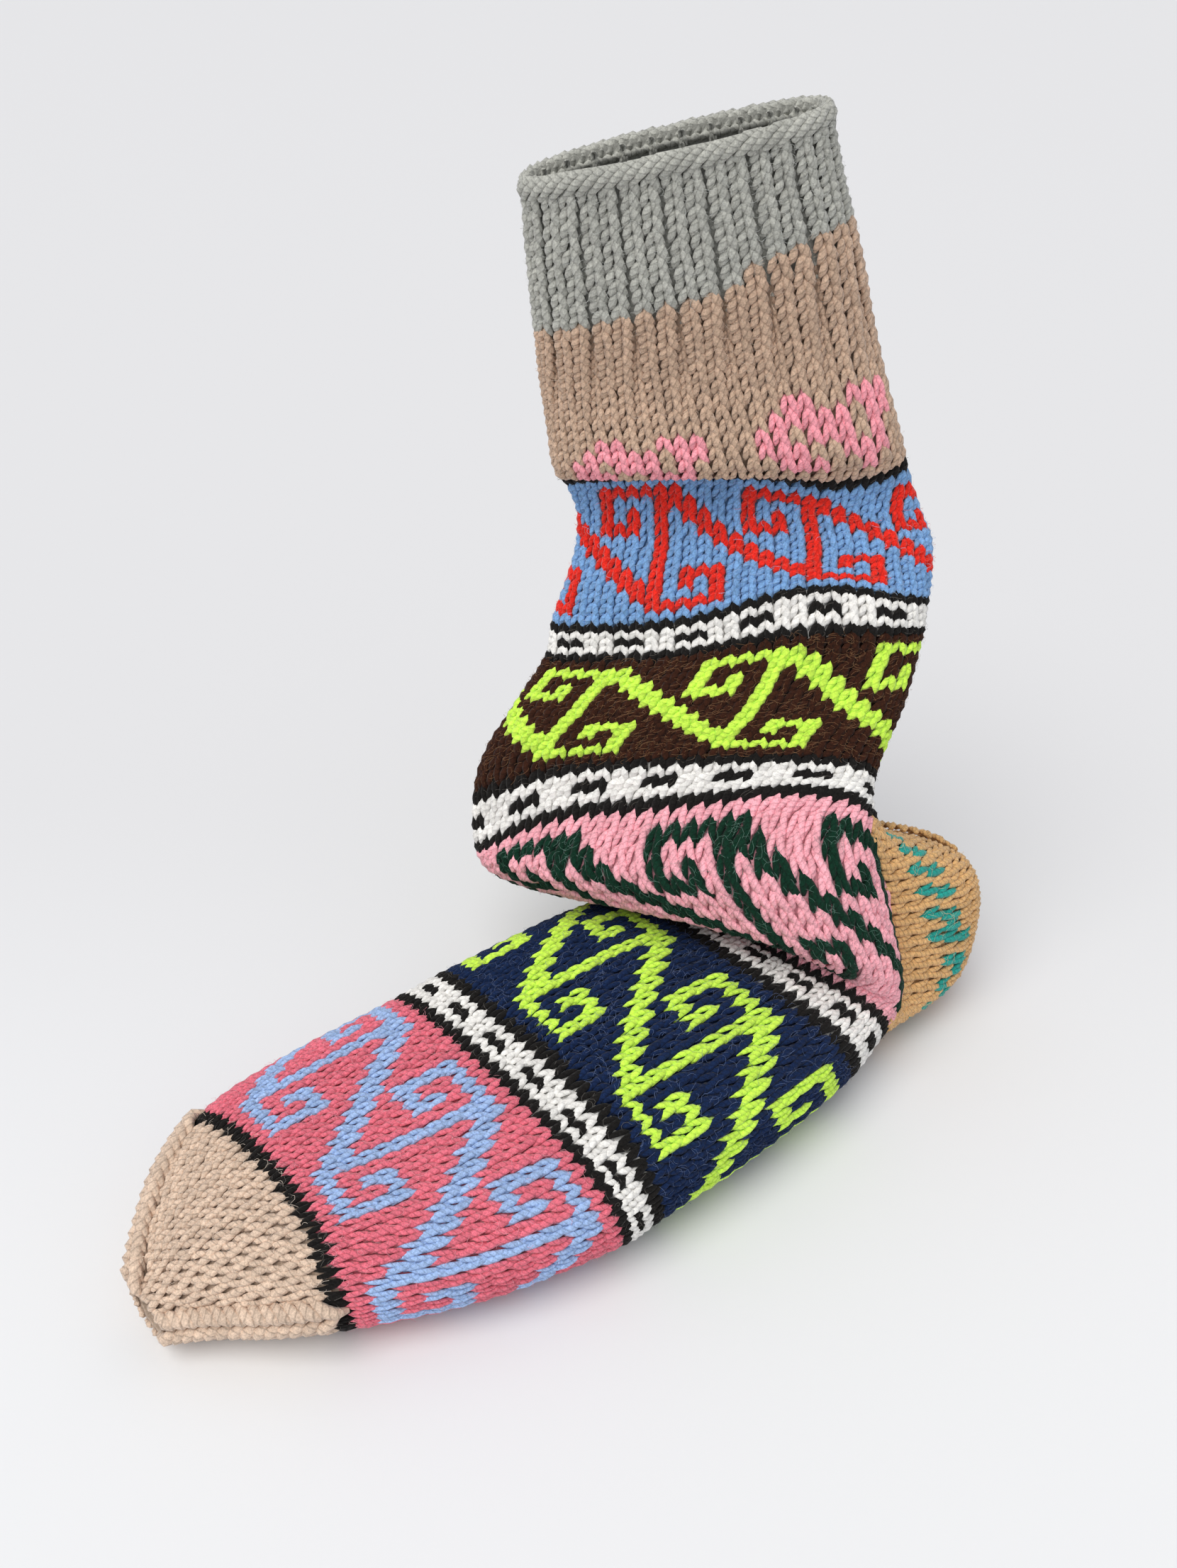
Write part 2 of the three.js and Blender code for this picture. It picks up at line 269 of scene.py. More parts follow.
def on_cloth(rows, columns, height):
    """Points at a height above the cloth's outer face, none of them under the floor."""
    rows, columns, height = np.broadcast_arrays(*(np.asarray(v, float)
                                                  for v in (rows, columns, height)))
    level = rows.copy()
    for d in named(DRIFT_COLUMNS, DRIFT_TABLE):
        level += d["lower"] * bump_at(rows, columns, d["row"], d["column"], d["rows"],
                                      d["columns"])
    height = height.copy()
    for p in named(LIP_COLUMNS, LIP_TABLE):
        rise = p["height"] * bump_at(rows, columns, p["row"], p["column"], p["rows"],
                                     p["columns"])
        height += rise * np.clip((p["row"] + 0.9 - rows) / 0.9, 0, 1)
    skewed = columns + np.interp(rows, [r for r, n in SKEW_TABLE], [n for r, n in SKEW_TABLE])
    points = read_net(net, level, skewed)
    normals = read_net(net_normals, level, skewed)
    points = points + normals * height[..., None]
    points[..., 2] = np.maximum(points[..., 2], np.maximum(0, -height))
    return points, normals


def to_metres(points):
    return (points + np.array(SHIFT)) * MM


def add_mesh(name, points, faces, material, attributes=None):
    mesh = bpy.data.meshes.new(name)
    mesh.from_pydata(to_metres(points), [], faces)
    for key, values in (attributes or {}).items():
        layer = mesh.attributes.new(key, "FLOAT_VECTOR", "POINT")
        layer.data.foreach_set("vector", np.asarray(values, np.float32).ravel())
    mesh.materials.append(material)
    mesh.shade_smooth()
    piece = bpy.data.objects.new(name, mesh)
    bpy.context.scene.collection.objects.link(piece)
    return piece


# The wool
# Every yarn is a soft plied wool or acrylic wool, dyed in one colour: matt, a little fuzzy,
# with painted shade darkening the thin grooves where its two strands lie against each other.
PLY_TURN = 3.4                 # length of yarn in which a strand goes once round
FUZZ_SIZE = 0.5                # size of the loose fibres' mottling


def linear(colour):
    """An sRGB colour such as #c9566f as linear values."""
    values = [int(colour[i:i + 2], 16) / 255 for i in (1, 3, 5)]
    return [v / 12.92 if v <= 0.04045 else ((v + 0.055) / 1.055) ** 2.4 for v in values] + [1]


def add_node(tree, kind, settings=None, inputs=None):
    """Adds a shader node with its settings, and links or sets its inputs."""
    node = tree.nodes.new(kind)
    for key, value in (settings or {}).items():
        setattr(node, key, value)
    for key, value in (inputs or {}).items():
        if isinstance(value, bpy.types.NodeSocket):
            tree.links.new(value, node.inputs[key])
        else:
            node.inputs[key].default_value = value
    return node


def wool(name, colour, shade, fuzz=0.35, sheen=0.2):
    """Knitted wool in one colour; shade is how far the painted shade darkens its grooves."""
    material = bpy.data.materials.new(name)
    material.use_nodes = True
    tree = material.node_tree
    tree.nodes.clear()
    yarn = add_node(tree, "ShaderNodeAttribute", {"attribute_name": "yarn"})
    parts = add_node(tree, "ShaderNodeSeparateXYZ", None, {0: yarn.outputs["Vector"]})
    turn = add_node(tree, "ShaderNodeMath", {"operation": "MULTIPLY"},
                    {0: parts.outputs["X"], 1: 2 * math.pi / PLY_TURN})
    sine = add_node(tree, "ShaderNodeMath", {"operation": "SINE"}, {0: turn.outputs[0]})
    cosine = add_node(tree, "ShaderNodeMath", {"operation": "COSINE"}, {0: turn.outputs[0]})
    first = add_node(tree, "ShaderNodeMath", {"operation": "MULTIPLY"},
                     {0: sine.outputs[0], 1: parts.outputs["Y"]})
    second = add_node(tree, "ShaderNodeMath", {"operation": "MULTIPLY_ADD"},
                      {0: cosine.outputs[0], 1: parts.outputs["Z"], 2: first.outputs[0]})
    strand = add_node(tree, "ShaderNodeMath", {"operation": "ABSOLUTE"}, {0: second.outputs[0]})
    # Painted shade: the dye is darkened towards the grooves between the two strands, where shade
    # falls.
    painted_groove_shade = add_node(tree, "ShaderNodeMapRange", None,
                      {"Value": strand.outputs[0], "From Min": 0.0, "From Max": 0.45,
                       "To Min": shade, "To Max": 1.0})
    place = add_node(tree, "ShaderNodeTexCoord")
    fibres = add_node(tree, "ShaderNodeTexNoise", None,
                      {"Vector": place.outputs["Object"], "Scale": 1 / (FUZZ_SIZE * MM),
                       "Detail": 3.0, "Roughness": 0.7})
    mottle = add_node(tree, "ShaderNodeMapRange", None,
                      {"Value": fibres.outputs["Fac"], "From Min": 0.3, "From Max": 0.7,
                       "To Min": 1 - fuzz, "To Max": 1 + fuzz * 0.6})
    island = add_node(tree, "ShaderNodeNewGeometry")
    uneven = add_node(tree, "ShaderNodeMapRange", None,
                      {"Value": island.outputs["Random Per Island"],
                       "To Min": 0.9, "To Max": 1.1})
    painted_shade_and_mottle = add_node(tree, "ShaderNodeMath", {"operation": "MULTIPLY"},
                    {0: painted_groove_shade.outputs["Result"], 1: mottle.outputs["Result"]})
    painted_shade_tone = add_node(tree, "ShaderNodeMath", {"operation": "MULTIPLY"},
                    {0: painted_shade_and_mottle.outputs[0], 1: uneven.outputs["Result"]})
    dye_with_painted_shade = add_node(tree, "ShaderNodeVectorMath", {"operation": "SCALE"},
                    {0: linear(colour)[:3], "Scale": painted_shade_tone.outputs[0]})
    bump = add_node(tree, "ShaderNodeBump", None,
                    {"Height": strand.outputs[0], "Strength": 0.5, "Distance": 0.3 * MM})
    rough = add_node(tree, "ShaderNodeBump", None,
                     {"Height": fibres.outputs["Fac"], "Strength": 0.35, "Distance": 0.25 * MM,
                      "Normal": bump.outputs["Normal"]})
    surface_node = add_node(tree, "ShaderNodeBsdfPrincipled", None,
                            {"Base Color": dye_with_painted_shade.outputs[0], "Roughness": 0.95,
                             "Specular IOR Level": 0.15, "Sheen Weight": sheen,
                             "Sheen Roughness": 0.5, "Normal": rough.outputs["Normal"]})
    add_node(tree, "ShaderNodeOutputMaterial", None, {"Surface": surface_node.outputs["BSDF"]})
    return material


# Plied wool (grey, tan, camel, sand, teal) shows grooves between its strands, darkened with painted
# shade. Acrylic wool (candy, red, neon, pink, rose) gives clean bright colour. Fuzzy wool (black,
# brown, green, navy) is mottled and nearly without sheen, so that it looks deep and soft.
YARNS = {
    "grey": wool("Grey plied wool", "#b9b9b1", 0.6),
    "tan": wool("Tan plied wool", "#cfb199", 0.6),
    "candy": wool("Candy pink acrylic wool", "#ffa8b4", 0.68),
    "blue": wool("Cornflower blue wool", "#80acde", 0.66),
    "red": wool("Scarlet acrylic wool", "#f02d20", 0.68),
    "black": wool("Black fuzzy wool", "#1d1b1a", 0.7, 0.6, 0.05),
    "white": wool("Natural white wool", "#f4f2ee", 0.8, 0.2),
    "brown": wool("Dark brown fuzzy wool", "#3c2014", 0.65, 0.5, 0.05),
    "neon": wool("Neon lime acrylic wool", "#d4ff58", 0.72, 0.25),
    "pink": wool("Rose pink acrylic wool", "#ffb4c0", 0.68),
    "green": wool("Bottle green fuzzy wool", "#0d3324", 0.65, 0.5, 0.05),
    "camel": wool("Camel wool", "#e2b47a", 0.6),
    "teal": wool("Teal wool", "#27a397", 0.75),
    "navy": wool("Navy fuzzy wool", "#16294e", 0.65, 0.5, 0.05),
    "rose": wool("Dusky rose acrylic wool", "#ec7688", 0.62),
    "sky": wool("Sky blue wool", "#a6c2ee", 0.7),
    "sand": wool("Sand wool", "#e2c8b2", 0.62),
}


# The stitches
# A knit stitch shows as two short slanting lengths of yarn that meet at the top, towards the
# cuff, and tuck behind their neighbours at both ends. A purl stitch shows as one flat bump.
LEG_RINGS = np.linspace(0, 1, 5)
LEG_SIDES = 5
uneven_hand = np.random.default_rng(7)


def yarn_mesh(name, centre, normals, radius, colour, flatness=0.9):
    """Joins short tapered lengths of yarn into one mesh. centre is (length of yarn, ring, 3)."""
    count, rings = centre.shape[:2]
    along = np.gradient(centre, axis=1)
    along /= np.maximum(np.linalg.norm(along, axis=-1, keepdims=True), 1e-9)
    across = np.cross(along, normals)
    across /= np.maximum(np.linalg.norm(across, axis=-1, keepdims=True), 1e-9)
    up = np.cross(across, along)
    turn = np.arange(LEG_SIDES) * 2 * math.pi / LEG_SIDES + math.pi / 2
    size = radius[..., None, None] * np.ones((1, 1, LEG_SIDES, 1))
    ring = (centre[:, :, None] + across[:, :, None] * np.cos(turn)[:, None] * size
            + up[:, :, None] * np.sin(turn)[:, None] * size * flatness)
    tips = np.stack([centre[:, 0] - along[:, 0] * radius[:, :1] * 0.4,
                     centre[:, -1] + along[:, -1] * radius[:, -1:] * 0.4], axis=1)
    points = np.concatenate([ring.reshape(count, -1, 3), tips], axis=1)
    points[..., 2] = np.maximum(points[..., 2], 0.0)
    per = points.shape[1]
    run = np.concatenate([np.zeros((count, 1)), np.cumsum(
        np.linalg.norm(np.diff(centre, axis=1), axis=-1), axis=1)], axis=1)
    start = uneven_hand.uniform(0, PLY_TURN, (count, 1))
    length = np.repeat(run + start, LEG_SIDES, axis=1)
    length = np.concatenate([length, run[:, :1] + start, run[:, -1:] + start], axis=1)
    cosine = np.concatenate([np.tile(np.cos(turn), rings), [0, 0]])
    sine = np.concatenate([np.tile(np.sin(turn), rings), [0, 0]])
    yarn = np.stack([length, np.broadcast_to(cosine, length.shape),
                     np.broadcast_to(sine, length.shape)], axis=-1)
    i, j = np.meshgrid(np.arange(rings - 1), np.arange(LEG_SIDES), indexing="ij")
    k = (j + 1) % LEG_SIDES
    quads = np.stack([i * LEG_SIDES + j, i * LEG_SIDES + k, (i + 1) * LEG_SIDES + k,
                      (i + 1) * LEG_SIDES + j], axis=-1).reshape(-1, 4)
    s = np.arange(LEG_SIDES)
    e = (s + 1) % LEG_SIDES
    foot = (rings - 1) * LEG_SIDES
    caps = np.concatenate([np.stack([e, s, np.full(LEG_SIDES, per - 2)], axis=1),
                           np.stack([foot + s, foot + e, np.full(LEG_SIDES, per - 1)], axis=1)])
    offset = (np.arange(count) * per)[:, None, None]
    faces = ((quads[None] + offset).reshape(-1, 4).tolist()
             + (caps[None] + offset).reshape(-1, 3).tolist())
    piece = add_mesh(name, points.reshape(-1, 3), faces, YARNS[colour],
                     {"yarn": yarn.reshape(-1, 3)})
    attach(piece, "root")
    return piece


def stitch_width(rows, columns):
    """Width of a stitch of the tube in mm."""
    a, b = (on_cloth(rows, columns + side, np.zeros_like(columns))[0] for side in (-0.5, 0.5))
    return np.linalg.norm(a - b, axis=-1)


# The two lengths of a stitch differ, because the yarn is twisted: the left one shows as a
# short slanting oval, the right one runs on into the next like a rope. For each: side, where it
# starts and how far it slants in stitches, its length in rows, its thickness against the
# stitch's width, and how round its ends are.
LENGTH_COLUMNS = ("side", "start", "slant", "rows", "thick", "end")
LENGTHS = [(-1, 0.03, 0.42, 1.35, 0.20, 0.45), (1, 0.08, 0.30, 1.8, 0.245, 0.7)]
RELIEF = 0.95                  # how far the middle of a length stands over its tucked ends
SINK = 0.5                     # how far those ends lie under the yarn's middle
THICKEST = 1.15                # radius of the thickest length, and below it of the thinnest
THINNEST = 0.5


def lengths_of(rows, columns, place, width, raised, wide):
    """Centre lines, normals and radii of the two lengths of each stitch. place turns rows,
    columns and heights into points and normals; width is that of a stitch in mm, and wide
    says how many columns it takes up."""
    made = []
    for s in named(LENGTH_COLUMNS, LENGTHS):
        stray = uneven_hand.normal(0, 0.035, (2, len(rows), 1))
        t = LEG_RINGS[None, :]
        row = rows[:, None] + 0.5 + (t - 0.5) * s["rows"] + stray[0]
        across = s["side"] * (s["start"] + s["slant"] * t) + stray[1]
        column = columns[:, None] + 0.5 + across * wide[:, None]
        rise = RELIEF * np.sin(math.pi * t) - SINK
        centre, normals = place(row, column, rise - YARN_INSET + raised[:, None])
        profile = np.array([s["end"], 0.95, 1.06, 0.97, s["end"]])
        plump = 1 + uneven_hand.normal(0, 0.04, (len(rows), 1))
        thick = np.clip(s["thick"] * width * wide, THINNEST, THICKEST)
        radius = thick[:, None] * profile[None, :] * plump
        made.append((centre, normals, radius))
    return [np.concatenate(part) for part in zip(*made)]


def knit_legs(rows, columns, raised=None, wide=None):
    """The two lengths of each stitch of the tube."""
    rows, columns = np.asarray(rows, float), np.asarray(columns, float)
    width = stitch_width(rows + 0.5, columns + 0.5)
    raised = np.zeros(len(rows)) if raised is None else raised
    wide = np.ones(len(rows)) if wide is None else wide
    return lengths_of(rows, columns, on_cloth, width, raised, wide)


def knit(name, cells):
    """Adds the knit stitches of cells, a dict from yarn colour to a list of (row, column)."""
    pieces = []
    for colour in sorted(cells):
        places = np.array(cells[colour], float)
        centre, normals, radius = knit_legs(places[:, 0], places[:, 1])
        piece = yarn_mesh(f"{name}_{colour}_stitches", centre, normals, radius, colour)
        pieces.append(piece)
    return pieces


def cloth(name, node, rows, columns, bands, ring, face=-1.5):
    """A thin shell under the stitches. bands are (first row, yarn) from the top down."""
    rows, columns = np.asarray(rows, float), np.asarray(columns, float)
    grid_rows, grid_columns = np.meshgrid(rows, columns, indexing="ij")
    layers = [on_cloth(grid_rows, grid_columns, np.full(grid_rows.shape, h))[0]
              for h in (face, -WALL + 0.1)]
    n, m = grid_rows.shape
    points = np.concatenate([layer.reshape(-1, 3) for layer in layers])
    spans = m if ring else m - 1
    faces = []
    slots = []
    for i in range(n - 1):
        band = max(k for k, (first, colour) in enumerate(bands) if rows[i] >= first - 0.01)
        for j in range(spans):
            k = (j + 1) % m
            a, b, c, d = i * m + j, i * m + k, (i + 1) * m + k, (i + 1) * m + j
            faces.append((a, d, c, b))
            faces.append((a + n * m, b + n * m, c + n * m, d + n * m))
            slots += [band, band]
    for j in range(spans):
        k = (j + 1) % m
        faces.append((j, k, k + n * m, j + n * m))
        e = (n - 1) * m
        faces.append((e + j, e + j + n * m, e + k + n * m, e + k))
        slots += [0, len(bands) - 1]
    if not ring:
        for i in range(n - 1):
            a, b = i * m, (i + 1) * m
            faces.append((a, a + n * m, b + n * m, b))
            a, b = i * m + m - 1, (i + 1) * m + m - 1
            faces.append((a, b, b + n * m, a + n * m))
            slots += [0, 0]
    piece = add_mesh(name, points, faces, YARNS[bands[0][1]])
    for first, colour in bands[1:]:
        piece.data.materials.append(YARNS[colour])
    piece.data.polygons.foreach_set("material_index", np.array(slots, np.int32))
    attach(piece, "root")
    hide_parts(node)
    return piece


ROUND = np.arange(0, STITCHES, 1.0)

# The cuff
# Grey and then tan wool, knitted with wide ribs of two knit columns and a narrow purl valley.
# The ribs run on into the tan and fade, and two pink scrolls sit above its lower edge.
CUFF_ROWS = 27
GREY_ROWS = 11
RIB_DEPTH = 2.2
RIB_FADE = (11, 21)            # rows over which the ribs run out
VALLEY_SHARE = 0.15            # width of a purl column against a knit one
VALLEY_STITCH = 0.6            # width of its stitches, which lie half hidden
SCROLL = [
    "..##..###",
    ".#####.##",
    "##.###.#.",
    "###..###.",
    ".###..#..",
]
SCROLL_STARTS = [(21, 15), (23, 3), (21, 39), (23, 51)]


def rib(column, row):
    """Where a stitch's middle lies once the purl columns have drawn in, how wide the stitch
    is against an even one, and how far it is raised."""
    drawn_in = 1 - np.clip((row - RIB_FADE[0]) / (RIB_FADE[1] - RIB_FADE[0]), 0, 1)
    knit_width = 3 / (2 + VALLEY_SHARE)
    within = column % 3
    middle = np.array([0.5, 1.5, 2 + VALLEY_SHARE / 2])[within] * knit_width
    width = np.array([1, 1, VALLEY_STITCH])[within] * knit_width
    sunk = np.array([0, 0, -RIB_DEPTH])[within]
    return (column + 0.5 + (middle - within - 0.5) * drawn_in, 1 + (width - 1) * drawn_in,
            sunk * drawn_in)


def scroll_yarn(row, column):
    """The yarn of a stitch of the tan part: candy pink in a scroll, tan around it."""
    for first_row, first_column in SCROLL_STARTS:
        r, c = row - first_row, column - first_column
        if 0 <= r < len(SCROLL) and 0 <= c < len(SCROLL[0]) and SCROLL[r][c] == "#":
            return "candy"
    return "tan"


cuff_cells = {}
for row in range(CUFF_ROWS):
    for column in range(STITCHES):
        grey = row < GREY_ROWS - (1 if column >= 16 else 0)
        colour = "grey" if grey else scroll_yarn(row, column)
        cuff_cells.setdefault(colour, []).append((row, column))
for colour in sorted(cuff_cells):
    places = np.array(cuff_cells[colour])
    middle, wide, raised = rib(places[:, 1], places[:, 0])
    centre, normals, radius = knit_legs(places[:, 0], middle - 0.5, raised, wide)
    piece = yarn_mesh(f"cuff_{colour}_stitches", centre, normals, radius, colour)

# Cast-off edge: loose strands that slope over the rim, from the inside to the outside.
EDGE_COLUMNS = ("row", "columns", "height", "up", "thick")
EDGE = [(1.2, 0.0, 0.0, -0.4, 0.7), (0.6, 0.9, 0.4, 0.0, 1.0), (0.1, 1.9, -0.3, 0.4, 1.1),
        (0.1, 2.9, -1.5, 0.3, 1.0), (0.8, 3.8, -2.4, -0.2, 0.75)]
edge_row, edge_across, edge_height, edge_up, edge_thick = np.array(EDGE).T[:, None, :]
edge_column = np.arange(STITCHES)[:, None] + edge_across
centre, normals = on_cloth(edge_row, edge_column, edge_height)
centre[..., 2] += edge_up + uneven_hand.normal(0, 0.12, (STITCHES, 1))
edge = yarn_mesh("cuff_cast_off_edge", centre, normals, edge_thick + 0 * edge_column, "grey")

# Purl bumps on the inside, as deep as can be seen into the sock.
INSIDE_ROWS = (0.8, 16)
INSIDE_RADIUS = 0.9
INSIDE_PROFILE = np.array([0.5, 0.93, 1.06, 0.98, 0.55])
inside_rows, inside_columns = np.meshgrid(np.arange(*INSIDE_ROWS), ROUND, indexing="ij")
inside_rows, inside_columns = inside_rows.ravel()[:, None], inside_columns.ravel()[:, None]
t = LEG_RINGS[None, :]
bump_row = inside_rows + np.array([0.35, 0, -0.1, 0, 0.35])[None, :]
bump_column = inside_columns + 0.1 + 0.95 * t
bump_height = -WALL - np.array([-0.4, 0.3, 0.5, 0.3, -0.4])[None, :]
centre, normals = on_cloth(bump_row, bump_column, bump_height + np.zeros_like(bump_row))
radius = np.full(bump_row.shape, INSIDE_RADIUS) * INSIDE_PROFILE[None, :]
inner = yarn_mesh("cuff_inside_purl_bumps", centre, -normals, radius, "grey")
cloth("cuff_cloth", "cuff", np.linspace(0, 27.9, 29), np.arange(0, 60, 1.0),
      [(0, "grey"), (GREY_ROWS, "tan")], True, -1.9)

# The patterned leg
# Bands of hooked waves between stripes of white. The wave is one chart of ten stitches by
# eleven rows, and the white stripes carry pairs of black stitches edged with black rows.
WAVE = [
    "##....####",
    "###...#...",
    "#.##..#.#.",
    "#..##.###.",
    "#...##....",
    "#....##...",
    "#.....##..",
    "#.###..##.",
    "#.#.#...##",
    "#...#....#",
    "#####.....",
]
BAND_COLUMNS = ("row", "kind", "ground", "motif", "phase")
BAND_TABLE = [
    (27, "plain", "black", "black", 0),
    (28, "wave", "blue", "red", 8),
    (41, "stripe", "white", "black", 2),
    (46, "wave", "brown", "neon", 6),
    (59, "stripe", "white", "black", 5),
    (64, "wave", "pink", "green", 9),
    (77, "stripe", "white", "black", 5),
    (82, "wave", "navy", "neon", 2),
    (95, "stripe", "white", "black", 5),
    (100, "wave", "rose", "sky", 7),
    (113, "plain", "black", "black", 0),
]
bands = named(BAND_COLUMNS, BAND_TABLE)


def yarn_at(row, column):
    """The yarn of the stitch at this row and column of the patterned part."""
    band = [b for b in bands if b["row"] <= row][-1]
    r = row - band["row"]
    if band["kind"] == "plain":
        return band["ground"]
    if band["kind"] == "stripe":
        if r in (0, 4):
            return "black"
        return "black" if r == 2 and (column - band["phase"]) % 4 < 2 else "white"
    if 1 <= r <= len(WAVE) and WAVE[r - 1][(column - band["phase"]) % 10] == "#":
        return band["motif"]
    return band["ground"]


def patterned(first, end, columns):
    """The stitches of the rows from first up to end, by yarn."""
    cells = {}
    for row in range(first, end):
        for column in columns(row):
            cells.setdefault(yarn_at(row, column), []).append((row, column))
    return cells


leg_cells = patterned(27, 64, lambda row: range(STITCHES))
leg_pieces = knit("leg", leg_cells)
cloth("leg_cloth", "leg", np.linspace(27.9, 64, 73), ROUND,
      [(27.9, "blue"), (41, "white"), (46, "brown"), (59, "white"), (63.5, "pink")],
      True)

# The instep
# Pink wool with the wave in bottle green. It is the front half of the tube only, and sags over
# the foot in one big fold.
def front_count(row):
    return float(np.interp(row + 0.5, [r for r, n in FRONT_TABLE], [n for r, n in FRONT_TABLE]))


instep_cells = patterned(64, 77, lambda row: range(int(round(front_count(row)))))
instep_pieces = knit("instep", instep_cells)
cloth("instep_cloth", "instep", np.linspace(64, 77, 40),
      np.linspace(0, 29.6, 31), [(64, "pink")], False)

# The patterned foot
# The same wave in neon on navy and in sky blue on rose, with a white stripe before each.
foot_cells = patterned(77, 114, lambda row: range(STITCHES))
foot_pieces = knit("foot", foot_cells)
cloth("foot_cloth", "foot", np.linspace(77, 113.2, 73), ROUND,
      [(77, "white"), (82, "navy"), (95, "white"), (100, "rose")],
      True)

# The heel
# A cup of camel wool picked up all round the opening behind the instep and knitted inwards in
# rounds, with a decrease at each corner and one zigzag round in teal.
HEEL_ROWS = (64, 77)
HEEL_ROUNDS = 15
HEEL_ZIGZAG = (3, 2, 3, 2)     # first round of the teal zigzag, by side
HEEL_STEP = 0.6                # share of the right side after which the zigzag lies a round in
HEEL_RIDGE = 8                 # the round that stands up as a ridge
HEEL_SPACING = 4.0             # width of a stitch, in mm
HEEL_YARN = 4.4                # the width that its yarn's thickness goes by


def heel_place(depth, side, share):
    """Row and column of a point of the heel cup. depth is 0 at the opening and 0.5 in the
    middle; side 0 is along the leg, 1 the right, 2 along the sole, 3 the left."""
    p = np.where(side == 0, depth, np.where(side == 2, 1 - depth, depth + (1 - 2 * depth) * share))
    q = np.where(side == 1, 1 - depth, np.where(side == 3, depth,
                                                depth + (1 - 2 * depth) * share))
    row = HEEL_ROWS[0] + (HEEL_ROWS[1] - HEEL_ROWS[0]) * p
    front = np.interp(row, [r for r, n in FRONT_TABLE], [n for r, n in FRONT_TABLE])
    return row, front + (1 - q) * (STITCHES - front)


def heel_line(depth, side, shares):
    """Points and normals along one side of a round of the heel."""
    row, column = heel_place(depth, np.full(shares.shape, side), shares)
    column = np.minimum(column, STITCHES - 1e-6)
    return on_cloth(row, column, np.full(row.shape, -YARN_INSET))


def heel_count(ring, side):
    """How many stitches one side of a round of the heel has."""
    line = heel_line(0.5 * (ring + 0.5) / HEEL_ROUNDS, side, np.linspace(0, 1, 60))[0]
    length = np.linalg.norm(np.diff(line, axis=0), axis=1).sum()
    return max(1, int(round(length / HEEL_SPACING)))


heel_cells = {"camel": [], "teal": []}
for ring in range(HEEL_ROUNDS):
    for side in range(4):
        count = heel_count(ring, side)
        points = heel_count(HEEL_ZIGZAG[side], side)
        for k in range(count):
            share = (k + 0.5) / count
            zigzag = HEEL_ZIGZAG[side] + int(share * points) % 2 + (side == 1 and share > HEEL_STEP)
            colour = "teal" if ring == zigzag else "camel"
            heel_cells[colour].append((ring, side, share, 1 / count))


def on_heel(side):
    """A function that places points of the heel's stitches, each on its own side."""
    def place(depth, share, height):
        row, column = heel_place(np.clip(0.5 * depth / HEEL_ROUNDS, 0.002, 0.498),
                                 side[:, None] + np.zeros_like(depth), np.clip(share, 0, 1))
        return on_cloth(row, np.minimum(column, STITCHES - 1e-6), height)
    return place


for colour, cells in sorted(heel_cells.items()):
    ring, side, share, step = np.array(cells, float).T
    raised = 1.9 * (ring == HEEL_RIDGE) - 0.9 * (ring == HEEL_RIDGE - 1)
    place = on_heel(side)

    def place_shares(depth, across, height):
        return place(depth, share[:, None] + (across - 0.5) * step[:, None], height)

    centre, normals, radius = lengths_of(ring, np.zeros(len(ring)), place_shares,
                                         np.full(len(ring), HEEL_YARN), raised, np.ones(len(ring)))
    piece = yarn_mesh(f"heel_{colour}_stitches", centre, normals, radius, colour)
cloth("heel_cloth", "heel", np.linspace(64, 77, 40), np.linspace(30.8, 59.99, 37),
      [(64, "camel")], False)

# The toe
# Sand wool, decreased on both sides into a wedge. The two columns beside each decrease stand up
# as a braid from the black row to the tip.
TOE_ROWS = range(114, 126)
TOE_WIDTH = 3.9                # width of a stitch, in mm
TOE_YARN = 4.2                 # the width that its yarn's thickness goes by
TOE_EDGES = (9.5, 2.0)         # middles of the braids, in mm inwards from the ends of the front
BRAID_HALF = 3.6               # half of a braid's width, in mm
toe_rows, toe_columns, toe_steps = [], [], []
for row in TOE_ROWS:
    width = stitch_width(np.full(2, row + 0.5), np.array([3.0, 27.0]))
    left, right = TOE_EDGES[0] / width[0], 30 - TOE_EDGES[1] / width[1]
    for start, stop in ((left, right), (right, STITCHES + left)):
        line = on_cloth(row + 0.5, np.linspace(start, stop, 61), 0)[0]
        length = np.linalg.norm(np.diff(line, axis=0), axis=1).sum()
        across = TOE_WIDTH / length * (stop - start)
        kept = int(max(length - 2 * BRAID_HALF, 0) / TOE_WIDTH / 2 + 0.3)
        for k in range(-kept, kept + 1):
            toe_rows.append(row)
            toe_columns.append((start + stop) / 2 + k * across)
            toe_steps.append(across)
toe_rows, toe_columns, toe_steps = (np.array(v, float) for v in (toe_rows, toe_columns,
                                                                 toe_steps))


def on_toe(row, share, height):
    """Places the toe's stitches, whose columns keep one width in mm."""
    column = toe_columns[:, None] + (share - 0.5) * toe_steps[:, None]
    return on_cloth(row, column, height)


centre, normals, radius = lengths_of(toe_rows, np.zeros(len(toe_rows)), on_toe,
                                     np.full(len(toe_rows), TOE_YARN),
                                     np.zeros(len(toe_rows)), np.ones(len(toe_rows)))
toe_stitches = yarn_mesh("toe_sand_stitches", centre, normals, radius, "sand")

